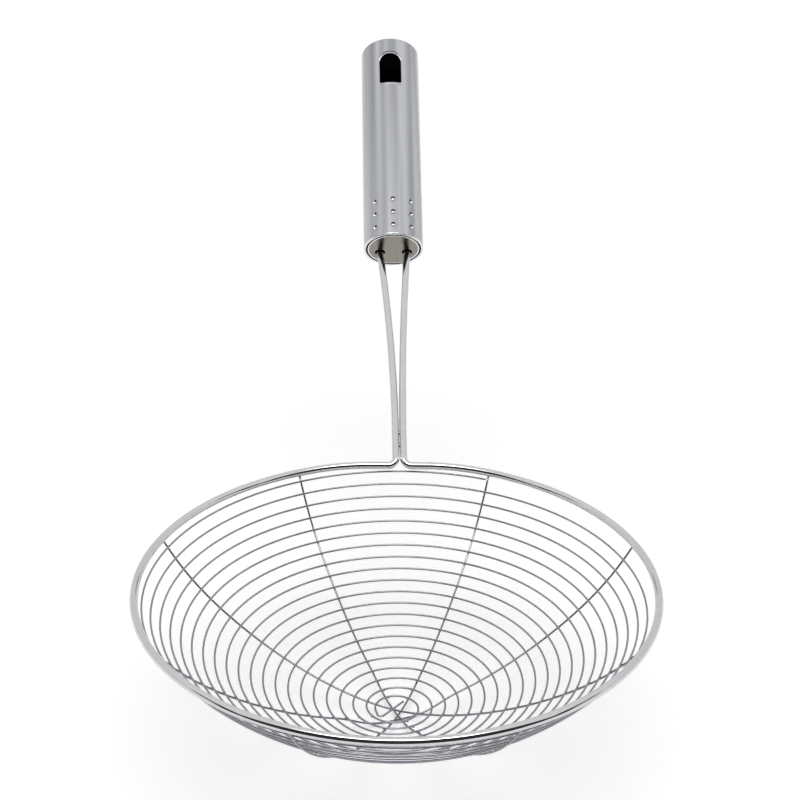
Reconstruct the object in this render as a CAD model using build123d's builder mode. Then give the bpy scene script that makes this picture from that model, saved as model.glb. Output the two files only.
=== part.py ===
from build123d import *

from numpy import array

import os
from math import asin, atan, cos, degrees, hypot, pi, radians, sin, sqrt

# Spider skimmer for lifting food out of hot oil or water: a bowl of spiral wire on four rib wires,
# hung in a ring of thicker wire whose two ends run up the neck into a tubular handle.
# Millimetres. The ring lies level, the bowl hangs under it, and the handle rises towards +Y.
# The origin is under the middle of the whole object, level with the lowest rib.

# Ring and neck, one wire
frame_wire = 3.0
ring_radius = 93.5
ring_flat = 1.8
shoulder_radius = 60.0
neck_angle = 36.5
neck_lean = 1.4
neck_length = 101.0
neck_bend_radius = 3.2
neck_gap = 0.4
neck_pair_length = 12.0
leg_spread = 5.75
leg_insertion = 20.0

# Bowl: height over its bottom, at a share of the ring's radius, is a crown term plus a lip term
bowl_depth = 53.5
crown_share = 0.86
crown_power = 1.8
lip_power = 9

# Spiral wire, from its outer end under the ring to a short straight tail across the middle
spiral_wire = 0.8
spiral_pitch = 5.06
spiral_turns = 20.35
spiral_start_angle = 68.0
spiral_inset = 1.6
spiral_core_radius = 7.6
biarcs_per_turn = 2
tail_lead_in = 2.5
tail_bend_radius = 1.4
tail_bend_angle = 128.6
tail_length = 11.4

# The thin wires are drawn with flat sides
thin_wire_sides = 6

# Rib wires, each from one side of the ring to the other, stacked where they cross
rib_wire = 0.8
rib_angles = (159.5, 68.0, 115.0, 21.0)
rib_offsets = (0.4, 1.4, 0.5, 2.1)
rib_gap = 0.1
stack_flat_radius = 8.0
stack_radius = 24.0
rib_station_shares = (0.09, 0.17, 0.26, 0.45, 0.65, 0.83, 1.0)

# Handle tube, closed by a shallow dome at the far end
tube_radius = 12.7
tube_wall = 1.2
tube_rise = 2.2
tube_length = 101.8
dome_depth = 2.5
dome_corner = 1.5
mouth_rounding = 0.5

# Hanging slot, through both walls, arched towards the dome
slot_width = 10.0
slot_length = 17.2
slot_to_dome = 6.0
slot_corner = 1.2

# Dimples pressed into the upper side, which hold the end plug
dimple_width = 2.6
dimple_depth = 0.5
dimple_spacing = 6.4
dimple_rows = 3
dimple_edge_distance = 4.4
dimple_angles = (-35.0, 0.0, 35.0)

# End plug with a wide mouth and a close hole for each leg
plug_length = 18.0
plug_clearance = 0.1
plug_rounding = 0.8
plug_mouth_diameter = 4.5
plug_mouth_depth = 2.5
leg_clearance = 0.15

# How far a cutting tool runs past what it cuts
overrun = 2.0

# Heights and places that follow from the sizes above
rib_offset = (spiral_wire + rib_wire) / 2 + rib_gap
rib_step = rib_wire + rib_gap
bowl_bottom = rib_offset + (len(rib_angles) - 1) * rib_step + rib_wire / 2
ring_height = bowl_bottom + bowl_depth

# Directions of the neck: up its slope, across it and square to both. It leans a little to -X
rise = radians(neck_angle)
lean = radians(neck_lean)
neck_way = Vector(-sin(lean), cos(lean) * cos(rise), cos(lean) * sin(rise))
neck_across = Vector(cos(lean), sin(lean) * cos(rise), sin(lean) * sin(rise))
neck_square = Vector(0, -sin(rise), cos(rise))

# The handle reaches furthest back at the rounded corner of its closed end
corner_reach = (tube_radius - dome_corner) * sqrt(1 - neck_way.Y**2) + dome_corner
handle_reach = (neck_length + tube_length) * neck_way.Y + tube_rise * neck_square.Y + corner_reach
neck_reach = ring_radius - ring_flat
bowl_y = (ring_radius + frame_wire / 2 - neck_reach - handle_reach) / 2
neck_foot = Vector(0, bowl_y + neck_reach, ring_height)


def on_neck(sideways, along, above=0.0):
    """A point by its distances from the neck's foot: across, up the slope and square to it."""
    return neck_foot + neck_across * sideways + neck_way * along + neck_square * above


def neck_plane(sideways, along, above=0.0):
    """A plane square to the neck, which looks up towards the handle's end."""
    return Plane(on_neck(sideways, along, above), x_dir=-neck_across, z_dir=neck_way)


def bowl_rise(radius):
    """Height of the bowl over its bottom, at the middle of the spiral wire."""
    share = radius / ring_radius
    return bowl_depth * (crown_share * share**crown_power + (1 - crown_share) * share**lip_power)


def bowl_slope(radius):
    """Angle of the bowl's side from level, in radians."""
    share = radius / ring_radius
    crown = crown_share * crown_power * share ** (crown_power - 1)
    lip = (1 - crown_share) * lip_power * share ** (lip_power - 1)
    return atan(bowl_depth / ring_radius * (crown + lip))


def add_biarc(start, start_way, finish, finish_way):
    """Two arcs that leave the start and reach the finish in the given directions."""
    chord = finish - start
    forward = chord.dot(start_way + finish_way)
    bend = 2 * (1 - start_way.dot(finish_way))
    handle = chord.dot(chord) / (forward + sqrt(forward**2 + bend * chord.dot(chord)))
    first = start + start_way * handle
    second = finish - finish_way * handle
    middle = (first + second) / 2
    TangentArc(start, middle, tangent=start_way)
    TangentArc(middle, finish, tangent=second - first)


def way_along(curve, place, reach):
    """Direction of a curve, given as a function, at a place on it."""
    return (curve(place + reach) - curve(place - reach)).normalized()


# Ring and neck wire: the ring, flattened at the back, two bends and two legs
shoulder_x = sqrt(ring_flat * (2 * (ring_radius - shoulder_radius) - ring_flat))
shoulder_y = neck_reach - shoulder_radius
shoulder_angle = atan(shoulder_y / shoulder_x)
pair_x = (frame_wire + neck_gap) / 2
bend_x = pair_x + neck_bend_radius
leg_run = neck_length - neck_pair_length
leg_tilt = 2 * atan((leg_spread - pair_x) / leg_run)


def on_ring(x, y):
    """A point in the ring's plane, from the bowl's axis."""
    return Vector(x, bowl_y + y, ring_height)


def leg_way(side):
    """Direction of a leg where it enters the handle."""
    return neck_across * (side * sin(leg_tilt)) + neck_way * cos(leg_tilt)


def leg_route(side):
    """One leg from the ring's flat to its end inside the handle."""
    bend_start = on_ring(side * bend_x, neck_reach)
    bend_end = on_neck(side * pair_x, neck_bend_radius)
    pair_end = on_neck(side * pair_x, neck_pair_length)
    leg_mouth = on_neck(side * leg_spread, neck_length)
    Line(on_ring(side * shoulder_x, neck_reach), bend_start)
    add_biarc(bend_start, Vector(-side, 0, 0), bend_end, neck_way)
    Line(bend_end, pair_end)
    TangentArc(pair_end, leg_mouth, tangent=neck_way)
    Line(leg_mouth, leg_mouth + leg_way(side) * leg_insertion)


def shoulder_route(side):
    """The turn from the ring's flat back into the full ring."""
    flat_end = on_ring(side * shoulder_x, neck_reach)
    ring_end = on_ring(side * ring_radius * cos(shoulder_angle), ring_radius * sin(shoulder_angle))
    TangentArc(flat_end, ring_end, tangent=(side, 0, 0))
    half_way = (shoulder_angle - pi / 2) / 2
    ring_side = on_ring(side * ring_radius * cos(half_way), ring_radius * sin(half_way))
    ThreePointArc(ring_end, ring_side, on_ring(0, -ring_radius))


with BuildPart() as rim_and_neck_wire:
    with BuildLine() as rim_route:
        for side in (-1, 1):
            leg_route(side)
            shoulder_route(side)
    leg_end = on_neck(-leg_spread, neck_length) + leg_way(-1) * leg_insertion
    with BuildSketch(Plane(leg_end, z_dir=-leg_way(-1))):
        Circle(frame_wire / 2)
    sweep(path=rim_route.wires()[0])
rim_and_neck_wire.part.label = "rim_and_neck_wire"


def arc_radii(spacing):
    """Radii at even steps along the bowl's side, from its bottom outwards."""
    radii = [0.0]
    while radii[-1] < ring_radius:
        radii.append(radii[-1] + spacing * cos(bowl_slope(radii[-1])))
    return radii


# Spiral wire: its turns keep the same distance along the bowl's side
walk_steps_per_pitch = 50
walk_step = spiral_pitch / walk_steps_per_pitch
walked_radii = arc_radii(walk_step)
spiral_start_radius = ring_radius - spiral_inset
spiral_start_length = walk_step * sum(radius < spiral_start_radius for radius in walked_radii)


def spiral_radius(turn):
    """Distance from the bowl's axis after so many turns from the outer end."""
    place = (spiral_start_length - spiral_pitch * turn) / walk_step
    if place <= 0:
        return spiral_core_radius
    below = int(place)
    radius = walked_radii[below] + (walked_radii[below + 1] - walked_radii[below]) * (place - below)
    return max(radius, spiral_core_radius)


def on_spiral(turn):
    """A point on the middle of the spiral wire."""
    radius = spiral_radius(turn)
    angle = radians(spiral_start_angle) + 2 * pi * turn
    return Vector(radius * cos(angle), bowl_y + radius * sin(angle), bowl_bottom + bowl_rise(radius))


station_count = round(spiral_turns * biarcs_per_turn)
tangent_reach = spiral_turns / station_count / 10
stations = [spiral_turns * number / station_count for number in range(station_count + 1)]

with BuildPart() as spiral:
    with BuildLine() as spiral_route:
        outer_end = on_spiral(0)
        outer_way = way_along(on_spiral, 0, tangent_reach)
        Line(outer_end - outer_way * spiral_wire, outer_end)
        for turn, next_turn in zip(stations, stations[1:]):
            add_biarc(
                on_spiral(turn),
                way_along(on_spiral, turn, tangent_reach),
                on_spiral(next_turn),
                way_along(on_spiral, next_turn, tangent_reach),
            )
        core_end = on_spiral(spiral_turns)
        core_way = way_along(on_spiral, spiral_turns, tangent_reach)
        tail_way = Vector(core_way.X, core_way.Y).normalized()
        bend_start = core_end + core_way * tail_lead_in
        Line(core_end, bend_start)
        bend = JernArc(bend_start, tail_way, tail_bend_radius, tail_bend_angle)
        Line(bend @ 1, (bend @ 1) + (bend % 1) * tail_length)
    with BuildSketch(Plane(outer_end - outer_way * spiral_wire, z_dir=outer_way)):
        RegularPolygon(spiral_wire / 2, thin_wire_sides)
    sweep(path=spiral_route.wires()[0])
spiral.part.label = "spiral_wire"


def least_gap(route, wire):
    """Least gap between a wire and itself, on points a wire's width apart along its middle."""
    points = []
    for edge in route.edges():
        count = round(edge.length / wire) + 1
        points += [tuple(edge @ (number / count)) for number in range(count)]
    points = array(points)
    own_run = round(spiral_pitch / wire)
    ahead = [points[number + own_run :] - points[number] for number in range(len(points) - own_run)]
    return min(sqrt((steps**2).sum(axis=1).min()) for steps in ahead) - wire


print(f"Least gap of the spiral wire to itself: {least_gap(spiral_route, spiral_wire):.2f} mm")


# Rib wires: each follows the bowl from ring to ring, just under the spiral
rib_end_radius = ring_radius - (frame_wire / 2 + rib_gap) * cos(bowl_slope(ring_radius))
rib_shares = [-share for share in reversed(rib_station_shares)] + list(rib_station_shares)
rib_tangent_reach = rib_station_shares[0] / 10


def stack_share(radius):
    """How much of its place in the stack a rib has at a radius: all in the middle, none further out."""
    share = (radius - stack_flat_radius) / (stack_radius - stack_flat_radius)
    return cos(pi / 2 * min(max(share, 0), 1)) ** 2


def on_rib(number, share):
    """A point on the middle of a rib wire, at a signed share of its way from the axis to the ring."""
    radius = abs(share) * rib_end_radius
    slope = bowl_slope(radius)
    along = (radius + rib_offset * sin(slope)) * (1 if share > 0 else -1)
    drop = rib_offset * cos(slope) + number * rib_step * stack_share(radius)
    angle = radians(rib_angles[number])
    aside = rib_offsets[number]
    x = along * cos(angle) + aside * sin(angle)
    y = along * sin(angle) - aside * cos(angle)
    return Vector(x, bowl_y + y, bowl_bottom + bowl_rise(radius) - drop)


ribs = []
for number in range(len(rib_angles)):

    def rib_curve(share, number=number):
        return on_rib(number, share)

    with BuildPart() as rib:
        with BuildLine() as rib_route:
            for share, next_share in zip(rib_shares, rib_shares[1:]):
                add_biarc(
                    rib_curve(share),
                    way_along(rib_curve, share, rib_tangent_reach),
                    rib_curve(next_share),
                    way_along(rib_curve, next_share, rib_tangent_reach),
                )
        first_way = way_along(rib_curve, rib_shares[0], rib_tangent_reach)
        with BuildSketch(Plane(rib_curve(rib_shares[0]), z_dir=first_way)):
            RegularPolygon(rib_wire / 2, thin_wire_sides)
        sweep(path=rib_route.wires()[0])
    rib.part.label = f"rib_wire_{number + 1}"
    ribs.append(rib.part)


# Handle tube: a drawn tube with a domed end, the slot and the dimples
tube_inner = tube_radius - tube_wall
tube_plane = Plane(on_neck(0, neck_length, tube_rise), x_dir=neck_across, z_dir=neck_square)
slot_start = tube_length - slot_to_dome - slot_length
slot_straight = slot_length - slot_width / 2
dome_crown = tube_radius**2 - 2 * tube_radius * dome_corner + dome_depth**2
dome_crown = dome_crown / (2 * (dome_depth - dome_corner))
crown_angle = degrees(asin((tube_radius - dome_corner) / (dome_crown - dome_corner)))
dimple_sphere = (dimple_width**2 / 4 + dimple_depth**2) / (2 * dimple_depth)
dimple_centre = tube_radius + dimple_sphere - dimple_depth
dimple_places = [
    on_neck(
        dimple_centre * sin(radians(angle)),
        neck_length + dimple_edge_distance + row * dimple_spacing,
        tube_rise + dimple_centre * cos(radians(angle)),
    )
    for row in range(dimple_rows)
    for angle in dimple_angles
]


def dome_outline(inset):
    """The dome's rounded corner and flatter crown, at a depth inside its outer face."""
    corner_centre = (tube_radius - dome_corner, tube_length)
    crown_centre = (0, tube_length + dome_depth - dome_crown)
    CenterArc(corner_centre, dome_corner - inset, 0, 90 - crown_angle)
    CenterArc(crown_centre, dome_crown - inset, 90 - crown_angle, crown_angle)


with BuildPart() as handle_tube:
    with BuildSketch(tube_plane):
        with BuildLine():
            Line((tube_inner, 0), (tube_radius - mouth_rounding, 0))
            TangentArc((tube_radius - mouth_rounding, 0), (tube_radius, mouth_rounding), tangent=(1, 0))
            Line((tube_radius, mouth_rounding), (tube_radius, tube_length))
            dome_outline(0)
            Line((0, tube_length + dome_depth), (0, tube_length + dome_depth - tube_wall))
            dome_outline(tube_wall)
            Line((tube_inner, tube_length), (tube_inner, 0))
        make_face()
    revolve(axis=Axis(tube_plane.origin, tube_plane.y_dir))
    with BuildSketch(tube_plane) as slot:
        with Locations((0, slot_start + slot_straight / 2)):
            Rectangle(slot_width, slot_straight)
        with Locations((0, slot_start + slot_straight)):
            Circle(slot_width / 2)
        fillet(slot.vertices().group_by(Axis.Y)[0], slot_corner)
    extrude(amount=tube_radius + overrun, both=True, mode=Mode.SUBTRACT)
    for place in dimple_places:
        with Locations(place):
            Sphere(dimple_sphere, mode=Mode.SUBTRACT)
handle_tube.part.label = "handle_tube"


# End plug: closes the handle's mouth and holds the two legs
plug_radius = tube_inner - plug_clearance

with BuildPart() as end_plug:
    with BuildSketch(neck_plane(0, neck_length, tube_rise)):
        Circle(plug_radius)
    extrude(amount=plug_length)
    face_edge = end_plug.edges().sort_by(Axis(tube_plane.origin, tube_plane.y_dir))[0]
    fillet(face_edge, plug_rounding)
    for side in (-1, 1):
        with BuildSketch(neck_plane(side * leg_spread, neck_length)):
            Circle(plug_mouth_diameter / 2)
        extrude(amount=plug_mouth_depth, mode=Mode.SUBTRACT)
        with BuildSketch(Plane(on_neck(side * leg_spread, neck_length), z_dir=leg_way(side))):
            Circle(frame_wire / 2 + leg_clearance)
        extrude(amount=plug_length + overrun, both=True, mode=Mode.SUBTRACT)
end_plug.part.label = "end_plug"


os.makedirs("parts", exist_ok=True)
export_step(rim_and_neck_wire.part, "parts/rim_and_neck_wire.step")
export_step(spiral.part, "parts/spiral_wire.step")
export_step(handle_tube.part, "parts/handle_tube.step")
export_step(end_plug.part, "parts/end_plug.step")
for rib_part in ribs:
    export_step(rib_part, f"parts/{rib_part.label}.step")
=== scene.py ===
# Spider skimmer: looks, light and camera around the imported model.
# Sizes in the dictionaries are in millimetres and degrees; every object is in metres.
import math
import random

import bmesh
import bpy
from mathutils import Matrix, Vector


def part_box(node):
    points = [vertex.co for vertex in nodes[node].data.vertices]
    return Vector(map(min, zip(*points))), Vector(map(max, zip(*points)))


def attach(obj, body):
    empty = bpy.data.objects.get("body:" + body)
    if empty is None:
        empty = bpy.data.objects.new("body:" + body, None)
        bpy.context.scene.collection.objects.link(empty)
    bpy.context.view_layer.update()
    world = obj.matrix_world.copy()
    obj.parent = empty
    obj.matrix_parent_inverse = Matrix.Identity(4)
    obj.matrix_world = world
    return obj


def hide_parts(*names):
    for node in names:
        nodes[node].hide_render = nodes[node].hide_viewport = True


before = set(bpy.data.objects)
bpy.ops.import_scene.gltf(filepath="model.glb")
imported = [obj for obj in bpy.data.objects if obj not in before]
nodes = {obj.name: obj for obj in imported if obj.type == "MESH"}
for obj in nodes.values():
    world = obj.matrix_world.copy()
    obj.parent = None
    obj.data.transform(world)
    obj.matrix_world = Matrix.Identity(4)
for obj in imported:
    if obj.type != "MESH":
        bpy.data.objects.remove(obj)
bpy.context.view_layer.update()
mm = 0.001

# the ring's middle, which everything in the bowl is measured from
ringLow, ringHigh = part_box("rim_and_neck_wire")
ringOuter = (ringHigh.x - ringLow.x) / 2
ringWire = 3.0 * mm
ringMiddle = Vector((0, ringLow.y + ringOuter, ringLow.z + ringWire / 2))
print("frame loaded, ring middle at", tuple(round(value, 4) for value in ringMiddle))


# the camera, fitted to the photograph
view = {
    "lens": 84.889,
    "sensor": 36.0,
    "back": 579.23,          # from the bowl's axis
    "above": 354.86,         # over the ring
    "down": 25.8836,
    "right": 0.0634,
    "roll": 0.4668,
    "near": 10.0,
    "far": 60000.0,
}


def addCamera():
    down, right, roll = (math.radians(view[key]) for key in ("down", "right", "roll"))
    ahead = Vector((math.sin(right) * math.cos(down), math.cos(right) * math.cos(down), -math.sin(down)))
    level = Vector((math.cos(right), -math.sin(right), 0))
    upward = level.cross(ahead)
    across = level * math.cos(roll) + upward * math.sin(roll)
    top = upward * math.cos(roll) - level * math.sin(roll)
    turn = Matrix((across, top, -ahead)).transposed().to_4x4()
    camera = bpy.data.objects.new("camera", bpy.data.cameras.new("camera"))
    camera.data.lens = view["lens"]
    camera.data.sensor_width = view["sensor"]
    camera.data.clip_start = view["near"] * mm
    camera.data.clip_end = view["far"] * mm
    place = ringMiddle + Vector((0, -view["back"], view["above"])) * mm
    camera.matrix_world = Matrix.Translation(place) @ turn
    bpy.context.scene.collection.objects.link(camera)
    bpy.context.scene.camera = camera


addCamera()
print("camera set")


def linearColour(hexText):
    # sRGB hex to the linear values that the nodes want
    channels = [int(hexText[start:start + 2], 16) / 255 for start in (1, 3, 5)]
    linear = [c / 12.92 if c <= 0.04045 else ((c + 0.055) / 1.055) ** 2.4 for c in channels]
    return (*linear, 1)


def addNode(tree, kind, settings={}, inputs={}):
    # settings are the node's own properties; inputs are values, or sockets to link
    node = tree.nodes.new(kind)
    for name, value in settings.items():
        setattr(node, name, value)
    for name, value in inputs.items():
        if isinstance(value, bpy.types.NodeSocket):
            tree.links.new(value, node.inputs[name])
        else:
            node.inputs[name].default_value = value
    return node


def newMaterial(name):
    material = bpy.data.materials.new(name)
    material.use_nodes = True
    tree = material.node_tree
    tree.nodes.clear()
    return material, tree


noiseLow, noiseHigh = 0.3, 0.7       # nearly all of a noise texture's values lie between these


def drawnWireSteel(name, pale, dull, roughness):
    # stainless wire, drawn and electropolished: a tight mirror that shows the tent as bright and black lines
    # along the wire, over a faint cloudiness left by the bath
    finish = {"mottle": 2.2}
    material, tree = newMaterial(name)
    place = addNode(tree, "ShaderNodeTexCoord")
    mottle = addNode(tree, "ShaderNodeTexNoise", {}, {
        "Vector": place.outputs["Object"], "Scale": 1 / (finish["mottle"] * mm), "Detail": 3.0})
    tone = addNode(tree, "ShaderNodeMix", {"data_type": "RGBA"}, {
        0: mottle.outputs["Fac"], 6: linearColour(dull), 7: linearColour(pale)})
    low, high = roughness
    rough = addNode(tree, "ShaderNodeMapRange", {}, {
        "Value": mottle.outputs["Fac"], "From Min": noiseLow, "From Max": noiseHigh,
        "To Min": high, "To Max": low})
    shader = addNode(tree, "ShaderNodeBsdfPrincipled", {}, {
        "Base Color": tone.outputs[2], "Metallic": 1.0, "Roughness": rough.outputs["Result"]})
    addNode(tree, "ShaderNodeOutputMaterial", {}, {"Surface": shader.outputs["BSDF"]})
    return material


def weldedSteel():
    # resistance welds: the metal melted and froze dull, with a straw tint from the heat; the pale tone is a
    # painted sheen
    finish = {
        "paleSheen": "#B9B7B4", "tinted": "#8F8B85", "roughness": 0.30,
        "grain": 0.25, "reliefStrength": 0.5, "reliefDepth": 0.05,
    }
    material, tree = newMaterial("weldTintAndPaintedSheen")
    place = addNode(tree, "ShaderNodeTexCoord")
    ripple = addNode(tree, "ShaderNodeTexNoise", {}, {
        "Vector": place.outputs["Object"], "Scale": 1 / (finish["grain"] * mm), "Detail": 2.0})
    tone = addNode(tree, "ShaderNodeMix", {"data_type": "RGBA"}, {
        0: ripple.outputs["Fac"], 6: linearColour(finish["tinted"]), 7: linearColour(finish["paleSheen"])})
    relief = addNode(tree, "ShaderNodeBump", {}, {
        "Height": ripple.outputs["Fac"], "Strength": finish["reliefStrength"],
        "Distance": finish["reliefDepth"] * mm})
    shader = addNode(tree, "ShaderNodeBsdfPrincipled", {}, {
        "Base Color": tone.outputs[2], "Metallic": 1.0, "Roughness": finish["roughness"],
        "Normal": relief.outputs["Normal"]})
    addNode(tree, "ShaderNodeOutputMaterial", {}, {"Surface": shader.outputs["BSDF"]})
    return material


handle = {
    "rise": 36.5,            # slope of the neck and tube
    "lean": 1.4,             # to the left
    "neckLength": 101.0,
    "tubeRise": 2.2,         # tube axis over the legs
    "tubeRadius": 12.7,
    "tubeLength": 101.8,
    "wall": 1.2,
    "domeDepth": 2.5,
    "crownRadius": 64.7,     # of the closed end's flat crown
    "footBack": 91.7,        # neck foot from the bowl's axis
}
rise = math.radians(handle["rise"])
lean = math.radians(handle["lean"])
neckWay = Vector((-math.sin(lean), math.cos(lean) * math.cos(rise), math.cos(lean) * math.sin(rise)))
neckAcross = Vector((math.cos(lean), math.sin(lean) * math.cos(rise), math.sin(lean) * math.sin(rise)))
neckSquare = neckAcross.cross(neckWay)
neckFoot = ringMiddle + Vector((0, handle["footBack"] * mm, 0))
tubeMouth = neckFoot + neckWay * handle["neckLength"] * mm + neckSquare * handle["tubeRise"] * mm


def tubeCoordinates(tree):
    # object coordinates turned so that X is across, Y square to and Z along the tube from its mouth
    turn = Matrix((-neckAcross, neckSquare, neckWay))
    place = addNode(tree, "ShaderNodeTexCoord")
    return addNode(tree, "ShaderNodeMapping", {"vector_type": "POINT"}, {
        "Vector": place.outputs["Object"],
        "Rotation": turn.to_euler("XYZ"),
        "Location": -(turn @ tubeMouth)}).outputs["Vector"]


def fromTubeAxis(tree, place):
    # how far a point is from the tube's axis, and how far along it from the mouth
    split = addNode(tree, "ShaderNodeSeparateXYZ", {}, {"Vector": place})
    flat = addNode(tree, "ShaderNodeCombineXYZ", {}, {"X": split.outputs["X"], "Y": split.outputs["Y"]})
    distance = addNode(tree, "ShaderNodeVectorMath", {"operation": "LENGTH"}, {0: flat.outputs["Vector"]})
    return distance.outputs["Value"], split.outputs["Z"]


def satinTubeSteel():
    # stainless tube, satin polished lengthwise: a soft grey sheen with very fine lines; its bore is painted
    # black, matte and without gloss, as painted shade
    finish = {
        # the bore's colour is painted shade inside the tube
        "pale": "#C2C3C7", "grey": "#9C9EA3", "bore": "#2A2A2E",
        "roughness": (0.18, 0.23), "burnishedRoughness": 0.09, "boreRoughness": 0.6, "specular": 0.5,
        "lineWidth": 0.30, "lineLength": 40.0, "lineShare": 0.18,
        "bandWidth": 4.6, "bandLength": 220.0, "bandShare": 0.82,
        "greyAt": 0.33, "paleAt": 0.67,      # values of the mixed noise
        "reliefStrength": 0.15, "reliefDepth": 0.02,
        "burnished": (2.0, 21.0),            # along the tube, from its mouth
        "pressed": 0.03,                     # how far in the pressed metal begins
        "boreFrom": 0.8,                     # share of the wall, from outside
    }
    material, tree = newMaterial("satinPolishedTube")
    place = tubeCoordinates(tree)
    # fine lines, a little coarser than real 400 grit so that they show, and the soft bands that the
    # polishing belt leaves from end to end
    noises = []
    for width, length, settings in (
            (finish["lineWidth"], finish["lineLength"], {"Detail": 4.0, "Roughness": 0.6}),
            (finish["bandWidth"], finish["bandLength"], {"Detail": 1.0})):
        across, along = 1 / (width * mm), 1 / (length * mm)
        stretched = addNode(tree, "ShaderNodeMapping", {}, {
            "Vector": place, "Scale": (across, across, along)})
        noises.append(addNode(tree, "ShaderNodeTexNoise", {}, {
            "Vector": stretched.outputs["Vector"], "Scale": 1.0, **settings}))
    lines, bands = noises
    blend = addNode(tree, "ShaderNodeMath", {"operation": "MULTIPLY"}, {
        0: lines.outputs["Fac"], 1: finish["lineShare"]})
    mixed = addNode(tree, "ShaderNodeMath", {"operation": "MULTIPLY_ADD"}, {
        0: bands.outputs["Fac"], 1: finish["bandShare"], 2: blend.outputs[0]})
    spread = addNode(tree, "ShaderNodeMapRange", {}, {
        "Value": mixed.outputs[0], "From Min": finish["greyAt"], "From Max": finish["paleAt"],
        "To Min": 0.0, "To Max": 1.0})
    tone = addNode(tree, "ShaderNodeMix", {"data_type": "RGBA"}, {
        0: spread.outputs[0], 6: linearColour(finish["grey"]), 7: linearColour(finish["pale"])})
    # inside the bore, where the shade in the tube is painted: near the wall's inner face or nearer the axis,
    # and under the closed end
    fromAxis, fromMouth = fromTubeAxis(tree, place)
    insideWall = addNode(tree, "ShaderNodeMath", {"operation": "LESS_THAN"}, {
        0: fromAxis, 1: (handle["tubeRadius"] - handle["wall"] * finish["boreFrom"]) * mm})
    crownDrop = addNode(tree, "ShaderNodeMath", {"operation": "POWER"}, {0: fromAxis, 1: 2.0})
    crown = addNode(tree, "ShaderNodeMath", {"operation": "MULTIPLY_ADD"}, {
        0: crownDrop.outputs[0], 1: 1 / (2 * handle["crownRadius"] * mm), 2: fromMouth})
    underEnd = addNode(tree, "ShaderNodeMath", {"operation": "LESS_THAN"}, {
        0: crown.outputs[0], 1: (handle["tubeLength"] + handle["domeDepth"] - handle["wall"] / 2) * mm})
    boreShadeMask = addNode(tree, "ShaderNodeMath", {"operation": "MULTIPLY"}, {
        0: insideWall.outputs[0], 1: underEnd.outputs[0]})
    colour = addNode(tree, "ShaderNodeMix", {"data_type": "RGBA"}, {
        0: boreShadeMask.outputs[0], 6: tone.outputs[2], 7: linearColour(finish["bore"])})
    low, high = finish["roughness"]
    satin = addNode(tree, "ShaderNodeMapRange", {}, {
        "Value": lines.outputs["Fac"], "From Min": noiseLow, "From Max": noiseHigh,
        "To Min": low, "To Max": high})
    # the press tool burnishes the three rows of dimples
    pressedIn = addNode(tree, "ShaderNodeMath", {"operation": "LESS_THAN"}, {
        0: fromAxis, 1: (handle["tubeRadius"] - finish["pressed"]) * mm})
    first, last = finish["burnished"]
    fromRows = addNode(tree, "ShaderNodeMath", {"operation": "SUBTRACT"}, {
        0: fromMouth, 1: (first + last) / 2 * mm})
    offRows = addNode(tree, "ShaderNodeMath", {"operation": "ABSOLUTE"}, {0: fromRows.outputs[0]})
    nearMouth = addNode(tree, "ShaderNodeMath", {"operation": "LESS_THAN"}, {
        0: offRows.outputs[0], 1: (last - first) / 2 * mm})
    burnished = addNode(tree, "ShaderNodeMath", {"operation": "MULTIPLY"}, {
        0: pressedIn.outputs[0], 1: nearMouth.outputs[0]})
    sheen = addNode(tree, "ShaderNodeMix", {"data_type": "FLOAT"}, {
        0: burnished.outputs[0], 2: satin.outputs["Result"], 3: finish["burnishedRoughness"]})
    rough = addNode(tree, "ShaderNodeMix", {"data_type": "FLOAT"}, {
        0: boreShadeMask.outputs[0], 2: sheen.outputs[0], 3: finish["boreRoughness"]})
    relief = addNode(tree, "ShaderNodeBump", {}, {
        "Height": lines.outputs["Fac"], "Strength": finish["reliefStrength"],
        "Distance": finish["reliefDepth"] * mm})
    # the painted bore shade also loses its metal and its gloss, so that it stays black
    bare = addNode(tree, "ShaderNodeMath", {"operation": "SUBTRACT"}, {0: 1.0, 1: boreShadeMask.outputs[0]})
    gloss = addNode(tree, "ShaderNodeMath", {"operation": "MULTIPLY"}, {
        0: bare.outputs[0], 1: finish["specular"]})
    shader = addNode(tree, "ShaderNodeBsdfPrincipled", {}, {
        "Base Color": colour.outputs[2], "Metallic": bare.outputs[0], "Roughness": rough.outputs[0],
        "Specular IOR Level": gloss.outputs[0], "Normal": relief.outputs["Normal"]})
    addNode(tree, "ShaderNodeOutputMaterial", {}, {"Surface": shader.outputs["BSDF"]})
    return material


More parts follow.
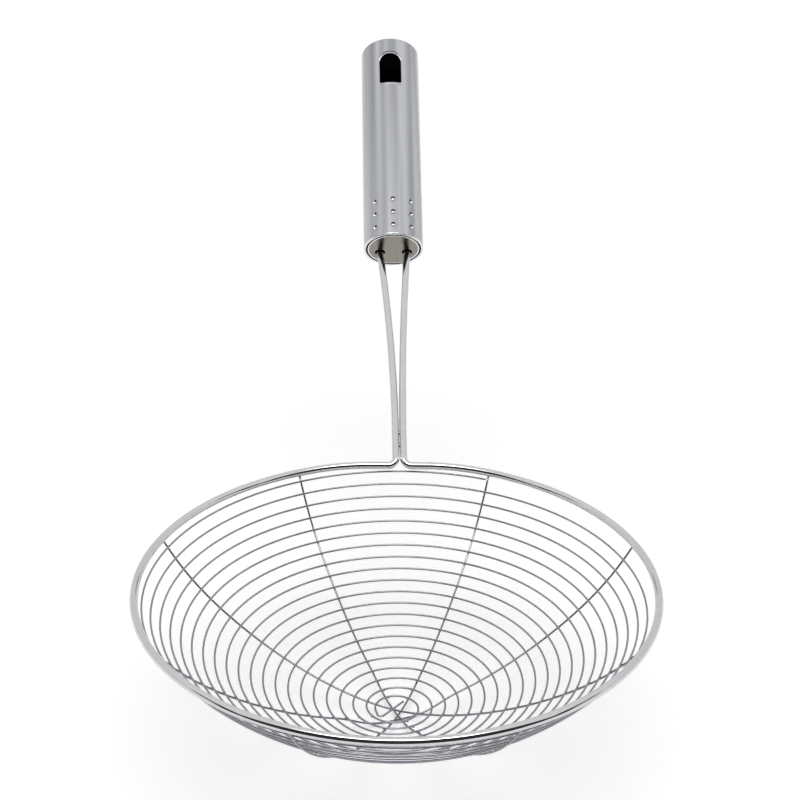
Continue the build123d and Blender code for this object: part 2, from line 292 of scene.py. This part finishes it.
def groundPlugMetal():
    # pressed plug, ground flat on its face: fine scratches one way, a warmer grey than the tube, and painted
    # shade, a dark ring at its edge where it meets the tube
    finish = {
        "pale": "#9B978F", "warm": "#7F7A72", "gapShade": "#1B1B1C",
        "gapShadeFrom": 11.05,                   # radius outside which the face is painted dark as the shade in the gap
        "roughness": (0.16, 0.26), "scratch": 0.25, "run": 12.0,
        "reliefStrength": 0.2, "reliefDepth": 0.02,
    }
    material, tree = newMaterial("groundPlugFace")
    place = tubeCoordinates(tree)
    across, along = 1 / (finish["scratch"] * mm), 1 / (finish["run"] * mm)
    stretched = addNode(tree, "ShaderNodeMapping", {}, {"Vector": place, "Scale": (across, along, across)})
    scratches = addNode(tree, "ShaderNodeTexNoise", {}, {
        "Vector": stretched.outputs["Vector"], "Scale": 1.0, "Detail": 3.0})
    tone = addNode(tree, "ShaderNodeMix", {"data_type": "RGBA"}, {
        0: scratches.outputs["Fac"], 6: linearColour(finish["warm"]), 7: linearColour(finish["pale"])})
    fromAxis = fromTubeAxis(tree, place)[0]
    # the face's rim is painted as the shade in the gap to the tube
    inGapShade = addNode(tree, "ShaderNodeMath", {"operation": "GREATER_THAN"}, {
        0: fromAxis, 1: finish["gapShadeFrom"] * mm})
    colour = addNode(tree, "ShaderNodeMix", {"data_type": "RGBA"}, {
        0: inGapShade.outputs[0], 6: tone.outputs[2], 7: linearColour(finish["gapShade"])})
    low, high = finish["roughness"]
    rough = addNode(tree, "ShaderNodeMapRange", {}, {
        "Value": scratches.outputs["Fac"], "From Min": noiseLow, "From Max": noiseHigh,
        "To Min": low, "To Max": high})
    relief = addNode(tree, "ShaderNodeBump", {}, {
        "Height": scratches.outputs["Fac"], "Strength": finish["reliefStrength"],
        "Distance": finish["reliefDepth"] * mm})
    shader = addNode(tree, "ShaderNodeBsdfPrincipled", {}, {
        "Base Color": colour.outputs[2], "Metallic": 1.0, "Roughness": rough.outputs["Result"],
        "Normal": relief.outputs["Normal"]})
    addNode(tree, "ShaderNodeOutputMaterial", {}, {"Surface": shader.outputs["BSDF"]})
    return material


ringSteel = drawnWireSteel("electropolishedRingWire", "#D6D6D8", "#C6C6C9", (0.04, 0.08))
spiralSteel = drawnWireSteel("electropolishedThinWire", "#A3A2A8", "#939299", (0.04, 0.08))
# the ribs are painted a little darker than the spiral as painted shade, for their place under it
shadedRibSteel = drawnWireSteel("ribWirePaintedShade", "#96959B", "#828188", (0.05, 0.09))
weldSteel = weldedSteel()
tubeSteel = satinTubeSteel()
plugMetal = groundPlugMetal()
print("materials made")


bowl = {
    "ringRadius": 93.5,
    "depth": 53.5,
    "crownShare": 0.86,      # the rest of the depth is in the steep lip
    "crownPower": 1.8,
    "lipPower": 9.0,
    "wire": 0.8,
}
spiral = {
    "pitch": 5.06,
    "turns": 20.35,
    "startAngle": 68.0,
    "inset": 1.6,
    "coreRadius": 7.6,
    "pointsPerTurn": 120,
    "leadIn": 2.5,
    "tailBend": 1.4,
    "tailTurn": 128.6,
    "tailLength": 11.4,
    "tailSteps": 16,
    "tailShares": (0.25, 0.5, 0.75, 1),      # points along the straight tail
    "walksPerPitch": 50,     # steps in which the bowl's side is walked
    "sides": 10,
}
ribs = {
    "angles": (159.5, 68.0, 115.0, 21.0),
    "aside": (0.4, 1.4, 0.5, 2.1),
    "gap": 0.1,
    "flatRadius": 8.0,
    "stackRadius": 24.0,
    "points": 121,
    "sides": 10,
}
bowlBottom = ringMiddle.z / mm - bowl["depth"]
ribOffset = bowl["wire"] + ribs["gap"]


def bowlRise(radius):
    share = radius / bowl["ringRadius"]
    crown = bowl["crownShare"] * share ** bowl["crownPower"]
    return bowl["depth"] * (crown + (1 - bowl["crownShare"]) * share ** bowl["lipPower"])


def bowlSlope(radius):
    share = radius / bowl["ringRadius"]
    crown = bowl["crownShare"] * bowl["crownPower"] * share ** (bowl["crownPower"] - 1)
    lip = (1 - bowl["crownShare"]) * bowl["lipPower"] * share ** (bowl["lipPower"] - 1)
    return math.atan(bowl["depth"] / bowl["ringRadius"] * (crown + lip))


def evenRadii(step):
    # radii at even steps along the bowl's side, from its bottom outwards
    radii = [0.0]
    while radii[-1] < bowl["ringRadius"]:
        radii.append(radii[-1] + step * math.cos(bowlSlope(radii[-1])))
    return radii


walkStep = spiral["pitch"] / spiral["walksPerPitch"]
walked = evenRadii(walkStep)
walkStart = walkStep * sum(radius < bowl["ringRadius"] - spiral["inset"] for radius in walked)


def spiralRadius(turn):
    place = (walkStart - spiral["pitch"] * turn) / walkStep
    if place <= 0:
        return spiral["coreRadius"]
    below = int(place)
    radius = walked[below] + (walked[below + 1] - walked[below]) * (place - below)
    return max(radius, spiral["coreRadius"])


def onSpiral(turn):
    radius = spiralRadius(turn)
    angle = math.radians(spiral["startAngle"]) + 2 * math.pi * turn
    return Vector((radius * math.cos(angle), radius * math.sin(angle), bowlBottom + bowlRise(radius)))


def spiralPoints():
    count = round(spiral["turns"] * spiral["pointsPerTurn"])
    points = [onSpiral(spiral["turns"] * number / count) for number in range(count + 1)]
    points.insert(0, points[0] - (points[1] - points[0]).normalized() * bowl["wire"])
    way = (points[-1] - points[-2]).normalized()
    flat = Vector((way.x, way.y, 0)).normalized()
    start = points[-1] + way * spiral["leadIn"]
    left = Vector((-flat.y, flat.x, 0))
    for number in range(spiral["tailSteps"] + 1):
        turned = math.radians(spiral["tailTurn"]) * number / spiral["tailSteps"]
        points.append(start + (flat * math.sin(turned) + left * (1 - math.cos(turned))) * spiral["tailBend"])
    turned = math.radians(spiral["tailTurn"])
    tailWay = flat * math.cos(turned) + left * math.sin(turned)
    last = points[-1]
    return points + [last + tailWay * spiral["tailLength"] * share for share in spiral["tailShares"]]


def stackShare(radius):
    # how much of its own step down a rib has taken, all of it where the four cross
    share = (radius - ribs["flatRadius"]) / (ribs["stackRadius"] - ribs["flatRadius"])
    return math.cos(math.pi / 2 * min(max(share, 0), 1)) ** 2


ribEnd = bowl["ringRadius"] - (ringWire / mm / 2 + ribs["gap"]) * math.cos(bowlSlope(bowl["ringRadius"]))


def onRib(number, share):
    # a rib's point, by its share of the way from the middle (0) to either end (-1 and 1)
    radius = abs(share) * ribEnd
    slope = bowlSlope(radius)
    along = (radius + ribOffset * math.sin(slope)) * (1 if share > 0 else -1)
    drop = ribOffset * math.cos(slope) + number * ribOffset * stackShare(radius)
    angle = math.radians(ribs["angles"][number])
    aside = ribs["aside"][number]
    return Vector((
        along * math.cos(angle) + aside * math.sin(angle),
        along * math.sin(angle) - aside * math.cos(angle),
        bowlBottom + bowlRise(radius) - drop))


def ribPoints(number):
    count = ribs["points"]
    return [onRib(number, 2 * step / (count - 1) - 1) for step in range(count)]


def inPlace(point):
    # from millimetres about the bowl's axis to metres in the frame
    return Vector((point.x * mm + ringMiddle.x, point.y * mm + ringMiddle.y, point.z * mm))


wireEnd = {"rim": 0.7, "rimOut": 0.25, "tipOut": 0.33}       # shares of the wire's radius


def finishPiece(name, mesh, material):
    data = bpy.data.meshes.new(name)
    mesh.to_mesh(data)
    mesh.free()
    data.materials.append(material)
    data.shade_smooth()
    piece = bpy.data.objects.new(name, data)
    bpy.context.scene.collection.objects.link(piece)
    return piece


def roundWire(name, points, radius, sides, material):
    # a round wire along its points, with slightly domed cut ends
    points = [inPlace(point) for point in points]
    befores, afters = points[:1] + points[:-1], points[1:] + points[-1:]
    ways = [(after - before).normalized() for before, after in zip(befores, afters)]
    square = ways[0].orthogonal().normalized()
    mesh = bmesh.new()
    rings = []
    for point, way in zip(points, ways):
        square = (square - way * square.dot(way)).normalized()
        side = way.cross(square)
        corners = []
        for number in range(sides):
            angle = 2 * math.pi * number / sides
            outward = square * math.cos(angle) + side * math.sin(angle)
            corners.append(mesh.verts.new(point + outward * radius))
        rings.append(corners)
    for ring, following in zip(rings, rings[1:]):
        for number in range(sides):
            after = (number + 1) % sides
            mesh.faces.new((ring[number], ring[after], following[after], following[number]))
    for ring, middle, way in ((rings[0], points[0], -ways[0]), (rings[-1], points[-1], ways[-1])):
        rimMiddle = way * radius * wireEnd["rimOut"]
        rim = [mesh.verts.new(middle + (corner.co - middle) * wireEnd["rim"] + rimMiddle) for corner in ring]
        tip = mesh.verts.new(middle + way * radius * wireEnd["tipOut"])
        for number in range(sides):
            after = (number + 1) % sides
            mesh.faces.new((ring[number], ring[after], rim[after], rim[number]))
            mesh.faces.new((rim[number], rim[after], tip))
    bmesh.ops.recalc_face_normals(mesh, faces=mesh.faces)
    return finishPiece(name, mesh, material)


spiralPiece = roundWire("spiral_round", spiralPoints(), bowl["wire"] / 2 * mm, spiral["sides"], spiralSteel)
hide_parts("spiral_wire")
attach(spiralPiece, "root")
for number in range(len(ribs["angles"])):
    ribName = f"rib_round_{number + 1}"
    ribPiece = roundWire(ribName, ribPoints(number), bowl["wire"] / 2 * mm, ribs["sides"], shadedRibSteel)
    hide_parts(f"rib_wire_{number + 1}")
    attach(ribPiece, "root")
print("spiral and rib wires made")


neckWire = {
    "flat": 1.8,             # how far the ring is pulled in at the neck
    "shoulder": 60.0,        # radius of the soft bend from the ring to its flat
    "bendRadius": 3.2,
    "gap": 0.12,             # a hair's breadth, dark between the polished legs
    "pairLength": 12.0,
    "spread": 5.75,          # half of what lies between the legs at the handle
    "insertion": 20.0,
    "bow": 0.9,              # the legs bow a little to the right between ring and handle
    "sides": 28,
    "bendSteps": 12,
    "legSteps": 40,
    "shoulderSteps": 16,
    "ringSteps": 300,
}


def onNeck(sideways, along, above=0.0):
    # millimetres about the bowl's axis, from distances across, up and square to the neck
    foot = Vector((0, handle["footBack"], ringMiddle.z / mm))
    return foot + neckAcross * sideways + neckWay * along + neckSquare * above


def arcPoints(start, way, finish, steps):
    # an arc that leaves the start in a direction, without its first point
    chord = finish - start
    inward = chord - way * chord.dot(way)
    nearlyStraight = 1e-6
    if inward.length < nearlyStraight:
        return [start + chord * step / steps for step in range(1, steps + 1)]
    half = way.angle(chord)
    radius = chord.length / (2 * math.sin(half))
    turns = [2 * half * step / steps for step in range(1, steps + 1)]
    inward = inward.normalized()
    return [start + (way * math.sin(turned) + inward * (1 - math.cos(turned))) * radius for turned in turns]


def biarcPoints(start, startWay, finish, finishWay, steps):
    # two arcs that leave the start and reach the finish in given directions
    chord = finish - start
    forward = chord.dot(startWay + finishWay)
    bend = 2 * (1 - startWay.dot(finishWay))
    reach = chord.dot(chord) / (forward + math.sqrt(forward ** 2 + bend * chord.dot(chord)))
    first = start + startWay * reach
    second = finish - finishWay * reach
    middle = (first + second) / 2
    firstArc = arcPoints(start, startWay, middle, steps)
    return firstArc + arcPoints(middle, (second - first).normalized(), finish, steps)


def legPoints(side):
    # from the ring's flat to the end inside the handle
    pairX = (ringWire / mm + neckWire["gap"]) / 2
    moved = neckWire["bow"]
    start = Vector((moved + side * (pairX + neckWire["bendRadius"]), handle["footBack"], ringMiddle.z / mm))
    bendEnd = onNeck(moved + side * pairX, neckWire["bendRadius"])
    pairEnd = onNeck(moved + side * pairX, neckWire["pairLength"])
    mouth = onNeck(side * neckWire["spread"], handle["neckLength"])
    points = [start] + biarcPoints(start, Vector((-side, 0, 0)), bendEnd, neckWay, neckWire["bendSteps"])
    points += [pairEnd] + arcPoints(pairEnd, neckWay, mouth, neckWire["legSteps"])
    last = (points[-1] - points[-2]).normalized()
    return points + [mouth + last * neckWire["insertion"]]


def ringPoints():
    # from the flat's left end round the front to its right end
    radius = bowl["ringRadius"]
    flat, shoulder = neckWire["flat"], neckWire["shoulder"]
    flatX = math.sqrt(flat * (2 * (radius - shoulder) - flat))
    turned = math.atan((handle["footBack"] - shoulder) / flatX)
    level = ringMiddle.z / mm
    left = Vector((-radius * math.cos(turned), radius * math.sin(turned), level))
    flatEnd = Vector((-flatX, handle["footBack"], level))
    leftShoulder = [flatEnd] + arcPoints(flatEnd, Vector((-1, 0, 0)), left, neckWire["shoulderSteps"])
    steps = neckWire["ringSteps"]
    sweepAngle = math.pi + 2 * turned
    around = []
    for step in range(1, steps):
        angle = math.pi - turned + sweepAngle * step / steps
        around.append(Vector((radius * math.cos(angle), radius * math.sin(angle), level)))
    rightShoulder = [Vector((-point.x, point.y, point.z)) for point in reversed(leftShoulder)]
    return leftShoulder + around + rightShoulder


neckRoute = list(reversed(legPoints(-1))) + ringPoints() + legPoints(1)
neckPiece = roundWire("ring_and_neck_round", neckRoute, ringWire / 2, neckWire["sides"], ringSteel)
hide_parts("rim_and_neck_wire")
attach(neckPiece, "root")
print("ring and neck wire made")


welds = {
    "seed": 7,
    "crossing": (0.44, 0.44, 0.42),      # half sizes along the spiral, along the rib and through both
    "ringEnd": (0.60, 0.60, 0.60),
    "legTack": (0.55, 0.90, 0.60),       # between the two legs, along the neck and square to it
    "tacksAlong": (9.0, 14.5),           # from the neck's foot
    "tackAbove": 0.4,        # the tacks' middles over the legs' axes
    "ringEndOut": 0.25,      # from a rib's end towards the ring wire
    "unevenness": 0.12,
    "subdivisions": 2,
    "searchPerTurn": 360,
    "wayStep": 0.002,        # of a turn, to either side of a crossing
}
dice = random.Random(welds["seed"])


def addBead(mesh, middle, along, normal, halfSizes):
    # one frozen droplet, a little uneven
    along = along.normalized()
    across = normal.cross(along).normalized()
    normal = along.cross(across)
    turn = Matrix((along, across, normal)).transposed().to_4x4()
    stretch = Matrix.Diagonal((*[half * mm for half in halfSizes], 1))
    made = bmesh.ops.create_icosphere(mesh, subdivisions=welds["subdivisions"], radius=1.0)
    for vertex in made["verts"]:
        vertex.co *= 1 + dice.uniform(-1, 1) * welds["unevenness"]
        vertex.co = Matrix.Translation(inPlace(middle)) @ turn @ stretch @ vertex.co


def crossingTurns(number):
    # turns of the spiral at which it passes over a rib
    angle = math.radians(ribs["angles"][number])
    steps = round(spiral["turns"] * welds["searchPerTurn"])
    found = []
    before = None
    for step in range(steps + 1):
        turn = spiral["turns"] * step / steps
        point = onSpiral(turn)
        beside = point.x * math.sin(angle) - point.y * math.cos(angle) - ribs["aside"][number]
        if before is not None and before[1] * beside <= 0:
            share = before[1] / (before[1] - beside)
            found.append(before[0] + (turn - before[0]) * share)
        before = (turn, beside)
    return found


weldMesh = bmesh.new()
for number in range(len(ribs["angles"])):
    for turn in crossingTurns(number):
        point = onSpiral(turn)
        before, after = max(turn - welds["wayStep"], 0), min(turn + welds["wayStep"], spiral["turns"])
        way = onSpiral(after) - onSpiral(before)
        outward = Vector((point.x, point.y, 0)).normalized()
        slope = bowlSlope(spiralRadius(turn))
        normal = Vector((0, 0, 1)) * math.cos(slope) - outward * math.sin(slope)
        addBead(weldMesh, point - normal * ribOffset / 2, way, normal, welds["crossing"])
    for share in (-1, 1):
        end = onRib(number, share)
        outward = Vector((end.x, end.y, 0)).normalized()
        ringPoint = outward * bowl["ringRadius"] + Vector((0, 0, ringMiddle.z / mm))
        toRing = (ringPoint - end).normalized()
        addBead(weldMesh, end + toRing * welds["ringEndOut"], outward, Vector((0, 0, 1)), welds["ringEnd"])
for along in welds["tacksAlong"]:
    middle = onNeck(neckWire["bow"], along, welds["tackAbove"])
    addBead(weldMesh, middle, neckAcross, neckSquare, welds["legTack"])
weldPiece = finishPiece("weld_spots", weldMesh, weldSteel)
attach(weldPiece, "root")
print("welds made")


slotLip = {
    "halfWidth": 5.0,
    "start": 77.8,           # from the tube's mouth
    "length": 17.2,
    "corner": 1.2,
    "radius": 0.32,          # the punched edge, rolled over a little
    "sunk": 0.8,             # share of its radius below the tube's face
    "sides": 10,
    "flatSteps": 6,
    "cornerSteps": 6,
    "sideSteps": 12,
    "archSteps": 19,
}


def lipPoints():
    # round the slot on the tube's outer face, from the middle of its straight end
    half, corner = slotLip["halfWidth"], slotLip["corner"]
    low, high = slotLip["start"], slotLip["start"] + slotLip["length"] - slotLip["halfWidth"]
    flatSteps, cornerSteps, sideSteps, archSteps = (
        slotLip[name] for name in ("flatSteps", "cornerSteps", "sideSteps", "archSteps"))
    outline = [((half - corner) * step / flatSteps, low) for step in range(flatSteps + 1)]
    for step in range(1, cornerSteps + 1):
        turned = math.pi / 2 * step / cornerSteps
        outline.append((half - corner + corner * math.sin(turned), low + corner * (1 - math.cos(turned))))
    for step in range(1, sideSteps + 1):
        outline.append((half, low + corner + (high - low - corner) * step / sideSteps))
    for step in range(1, archSteps + 1):
        turned = math.pi / 2 * step / archSteps
        outline.append((half * math.cos(turned), high + half * math.sin(turned)))
    outline += [(-x, along) for x, along in reversed(outline[:-1])]
    radius = handle["tubeRadius"]
    points = []
    for x, along in outline:
        above = handle["tubeRise"] + math.sqrt(radius ** 2 - x ** 2) - slotLip["radius"] * slotLip["sunk"]
        points.append(onNeck(x, handle["neckLength"] + along, above))
    return points


mouthEdges = {
    "tube": (12.17, 0.52, 0.24),         # ring radius, bead radius and how far it is set into the mouth
    "plug": (10.72, 0.38, 0.20),
    "points": 96,
    "sides": 12,
}


def edgePoints(radius, inset):
    # a closed ring about the tube's axis, at its mouth
    points = []
    for step in range(mouthEdges["points"] + 1):
        angle = 2 * math.pi * step / mouthEdges["points"]
        sideways, above = radius * math.sin(angle), handle["tubeRise"] + radius * math.cos(angle)
        points.append(onNeck(sideways, handle["neckLength"] + inset, above))
    return points


# stainless edges at the mouth: painted paler than the satin beside them as a painted highlight, and softer
highlightEdgeSteel = drawnWireSteel("mouthEdgePaintedHighlight", "#EAEAEC", "#DCDCDE", (0.22, 0.30))
for name, slotName in (("tube", "satin_tube"), ("plug", "plug_metal")):
    radius, wireRadius, inset = mouthEdges[name]
    points = edgePoints(radius, inset)
    edgePiece = roundWire(f"{name}_mouth_edge", points, wireRadius * mm, mouthEdges["sides"], highlightEdgeSteel)
    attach(edgePiece, "root")
print("mouth edges made")

# stainless rolled over and burnished by the punch: a thin bright rim round the slot
lipSteel = drawnWireSteel("burnishedSlotEdge", "#C8C8CA", "#B4B4B7", (0.10, 0.16))
lipPiece = roundWire("slot_edge", lipPoints(), slotLip["radius"] * mm, slotLip["sides"], lipSteel)
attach(lipPiece, "root")
print("slot edge made")


for name, material in (("handle_tube", tubeSteel), ("end_plug", plugMetal)):
    data = nodes[name].data
    data.materials.clear()
    data.materials.append(material)
print("finishes set")


studio = {
    "floor": "#F4F4F4",
    "floorGlow": 0.37,
    "floorSide": 4000.0,
    "floorFront": 300.0,     # the table's front edge, in front of the object and out of the picture
    "white": "#FFFFFF",
}


def addFloor():
    # a matte white laminate table: no gloss of its own, only the object's shade
    material, tree = newMaterial("matteWhiteFloor")
    paths = addNode(tree, "ShaderNodeLightPath")
    seen = addNode(tree, "ShaderNodeMath", {"operation": "ADD"}, {
        0: paths.outputs["Is Camera Ray"], 1: paths.outputs["Is Glossy Ray"]})
    shown = addNode(tree, "ShaderNodeMath", {"operation": "ADD", "use_clamp": True}, {
        0: seen.outputs[0], 1: paths.outputs["Is Transmission Ray"]})
    glow = addNode(tree, "ShaderNodeMath", {"operation": "MULTIPLY"}, {
        0: shown.outputs[0], 1: studio["floorGlow"]})
    matte = addNode(tree, "ShaderNodeBsdfDiffuse", {}, {"Color": linearColour(studio["floor"])})
    light = addNode(tree, "ShaderNodeEmission", {}, {
        "Color": linearColour(studio["white"]), "Strength": glow.outputs[0]})
    both = addNode(tree, "ShaderNodeAddShader", {}, {0: matte.outputs["BSDF"], 1: light.outputs["Emission"]})
    addNode(tree, "ShaderNodeOutputMaterial", {}, {"Surface": both.outputs[0]})
    side, front = studio["floorSide"] * mm, -studio["floorFront"] * mm
    corners = ((-side, front), (side, front), (side, side), (-side, side))
    mesh = bmesh.new()
    mesh.faces.new([mesh.verts.new((x, y, 0)) for x, y in corners])
    floor = finishPiece("floor", mesh, material)


# how bright the tent's parts are in the metal, on a scale where 1 is white
tent = {
    "walls": 0.95, "top": 0.92, "back": 0.85, "panel": 6.5, "opening": 0.04,
    "gapAt": 0.90, "gapEdge": (0.03, 0.07),  # across: where the gaps are, and where they fade out
    "fill": 0.69,            # what lights the table
    "overhead": 5.0,         # how closely that comes from straight above
}
# the tent's parts meet in soft steps of the direction looked in: its axis, where the step starts and ends,
# and the values before and after
tentSteps = {
    "ceiling": ("Z", 0.88, 0.96, tent["walls"], tent["top"]),
    "belowPanel": ("Z", 0.83, 0.87, 1.0, 0.0),
    "cameraSide": ("Y", -0.50, -0.36, 1.0, 0.0),
    "lowCloth": ("Z", 0.60, 0.72, 1.0, 0.0),
    "farCloth": ("Y", -0.1, 0.1, 0.0, 1.0),
    "overOpening": ("Z", 0.84, 0.88, 0.0, 1.0),
    "underTop": ("Y", -0.26, -0.20, 1.0, 0.0),
}


def setWorld():
    # a light tent: white walls, a top a little greyer and a dark opening on the camera's side
    world = bpy.data.worlds.new("lightTent")
    bpy.context.scene.world = world
    world.use_nodes = True
    tree = world.node_tree
    tree.nodes.clear()
    place = addNode(tree, "ShaderNodeTexCoord")
    split = addNode(tree, "ShaderNodeSeparateXYZ", {}, {"Vector": place.outputs["Generated"]})
    steps = {}
    for name, (axis, start, end, before, after) in tentSteps.items():
        steps[name] = addNode(tree, "ShaderNodeMapRange", {"interpolation_type": "SMOOTHSTEP"}, {
            "Value": split.outputs[axis], "From Min": start, "From Max": end,
            "To Min": before, "To Max": after}).outputs[0]
    opening = addNode(tree, "ShaderNodeMath", {"operation": "MULTIPLY"}, {
        0: steps["belowPanel"], 1: steps["cameraSide"]})
    # two narrow gaps between the wall panels, left and right of the opening
    aside = addNode(tree, "ShaderNodeMath", {"operation": "ABSOLUTE"}, {0: split.outputs["X"]})
    fromGap = addNode(tree, "ShaderNodeMath", {"operation": "SUBTRACT"}, {
        0: aside.outputs[0], 1: tent["gapAt"]})
    offGap = addNode(tree, "ShaderNodeMath", {"operation": "ABSOLUTE"}, {0: fromGap.outputs[0]})
    inner, outer = tent["gapEdge"]
    narrow = addNode(tree, "ShaderNodeMapRange", {"interpolation_type": "SMOOTHSTEP"}, {
        "Value": offGap.outputs[0], "From Min": inner, "From Max": outer, "To Min": 1.0, "To Max": 0.0})
    nearSide = addNode(tree, "ShaderNodeMath", {"operation": "LESS_THAN"}, {0: split.outputs["Y"], 1: 0.0})
    gap = addNode(tree, "ShaderNodeMath", {"operation": "MULTIPLY"}, {
        0: narrow.outputs[0], 1: nearSide.outputs[0]})
    dark = addNode(tree, "ShaderNodeMath", {"operation": "MAXIMUM"}, {
        0: opening.outputs[0], 1: gap.outputs[0]})
    # the cloth behind the object is a little greyer than the sides
    cloth = addNode(tree, "ShaderNodeMath", {"operation": "MULTIPLY"}, {
        0: steps["lowCloth"], 1: steps["farCloth"]})
    walls = addNode(tree, "ShaderNodeMix", {"data_type": "FLOAT"}, {
        0: cloth.outputs[0], 2: steps["ceiling"], 3: tent["back"]})
    # a bright panel over the opening, which draws the white line along every wire
    panel = addNode(tree, "ShaderNodeMath", {"operation": "MULTIPLY"}, {
        0: steps["overOpening"], 1: steps["underTop"]})
    lit = addNode(tree, "ShaderNodeMix", {"data_type": "FLOAT"}, {
        0: panel.outputs[0], 2: walls.outputs[0], 3: tent["panel"]})
    mirrored = addNode(tree, "ShaderNodeMix", {"data_type": "FLOAT"}, {
        0: dark.outputs[0], 2: lit.outputs[0], 3: tent["opening"]})
    # the table is lit mostly from overhead, so its shade stays under the bowl; the factor keeps the table as
    # light as under an even sky
    upward = addNode(tree, "ShaderNodeMath", {"operation": "MAXIMUM"}, {0: split.outputs["Z"], 1: 0.0})
    fromTop = addNode(tree, "ShaderNodeMath", {"operation": "POWER"}, {
        0: upward.outputs[0], 1: tent["overhead"]})
    fill = addNode(tree, "ShaderNodeMath", {"operation": "MULTIPLY"}, {
        0: fromTop.outputs[0], 1: tent["fill"] * (1 + tent["overhead"] / 2)})
    paths = addNode(tree, "ShaderNodeLightPath")
    plain = addNode(tree, "ShaderNodeMix", {"data_type": "FLOAT"}, {
        0: paths.outputs["Is Glossy Ray"], 2: fill.outputs[0], 3: mirrored.outputs[0]})
    behind = addNode(tree, "ShaderNodeMath", {"operation": "MAXIMUM"}, {
        0: paths.outputs["Is Camera Ray"], 1: paths.outputs["Is Transmission Ray"]})
    strength = addNode(tree, "ShaderNodeMix", {"data_type": "FLOAT"}, {
        0: behind.outputs[0], 2: plain.outputs[0], 3: 1.0})
    light = addNode(tree, "ShaderNodeBackground", {}, {
        "Color": linearColour(studio["white"]), "Strength": strength.outputs[0]})
    addNode(tree, "ShaderNodeOutputWorld", {}, {"Surface": light.outputs[0]})


softbox = {"place": (0, -700, 1500), "aim": (0, 50, 50), "size": (1300, 500), "watts": 1.5}


def addSoftbox():
    lamp = bpy.data.objects.new("softboxOverCamera", bpy.data.lights.new("softboxOverCamera", "AREA"))
    lamp.data.shape = "RECTANGLE"
    lamp.data.size, lamp.data.size_y = (side * mm for side in softbox["size"])
    lamp.data.energy = softbox["watts"]
    way = Vector(softbox["aim"]) - Vector(softbox["place"])
    lamp.rotation_euler = way.to_track_quat("-Z", "Y").to_euler()
    lamp.location = Vector(softbox["place"]) * mm
    lamp.visible_camera = False
    bpy.context.scene.collection.objects.link(lamp)


addFloor()
setWorld()
addSoftbox()
print("floor, world and lamps set")

bpy.context.scene.view_settings.view_transform = "Standard"
